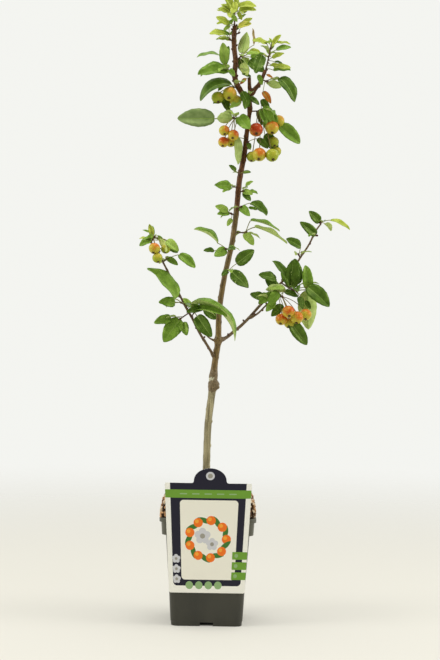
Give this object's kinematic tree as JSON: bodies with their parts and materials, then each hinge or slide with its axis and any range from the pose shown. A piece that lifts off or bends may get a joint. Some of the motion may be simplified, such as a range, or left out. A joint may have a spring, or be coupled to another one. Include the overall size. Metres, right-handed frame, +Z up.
{
  "type": "potted crabapple tree",
  "caption": "Young ornamental crabapple tree in a square nursery pot: slender leaning trunk, side boughs, leaves and small round fruits, bark mulch, and a label card hooked on the rim.",
  "frame": {"origin": "centre of the pot's flat underside, on the surface it stands on", "axes": "+Z up along the tree, +X to the right seen from the front, -Y towards the front with the label card"},
  "size_m": [0.4156, 0.2277, 1.2335],
  "materials": {
    "pot": "matt black nursery pot",
    "mulch": "rough bark chips over growing mix",
    "card": "printed plastic card",
    "bark": "young bark, olive-brown below",
    "shoot": "dark red-brown young wood",
    "foliage": "satin green leaves, yellow-green young ones, yellow to red fruits"
  },
  "bodies": {
    "root": {"bough_left": "shoot", "bough_right": "shoot", "bough_right_second": "shoot", "crown_twig": "shoot", "fork_twig": "shoot", "label_card": "card", "leader": "shoot", "leaves_crown_front": "foliage", "leaves_crown_left": "foliage", "leaves_crown_left_low": "foliage", "leaves_crown_right_low": "foliage", "leaves_leader_high": "foliage", "leaves_leader_left": "foliage", "leaves_leader_right": "foliage", "leaves_leader_top": "foliage", "leaves_left_inner": "foliage", "leaves_left_low": "foliage", "leaves_left_mid": "foliage", "leaves_left_tip": "foliage", "leaves_left_upper": "foliage", "leaves_right_cluster": "foliage", "leaves_right_fruit": "foliage", "leaves_right_inner": "foliage", "leaves_right_side": "foliage", "leaves_right_tip": "foliage", "leaves_right_upper": "foliage", "leaves_top_shoot": "foliage", "leaves_trunk_buds": "foliage", "leaves_trunk_high_left": "foliage", "leaves_trunk_high_right": "foliage", "leaves_trunk_low": "foliage", "leaves_trunk_mid_left": "foliage", "leaves_trunk_mid_right": "foliage", "leaves_trunk_node": "foliage", "leaves_trunk_upper_left": "foliage", "leaves_trunk_upper_right": "foliage", "leaves_twig_mid": "foliage", "leaves_twig_tip": "foliage", "mulch": "mulch", "pot": "pot", "trunk": "bark"}
  },
  "joints": []
}
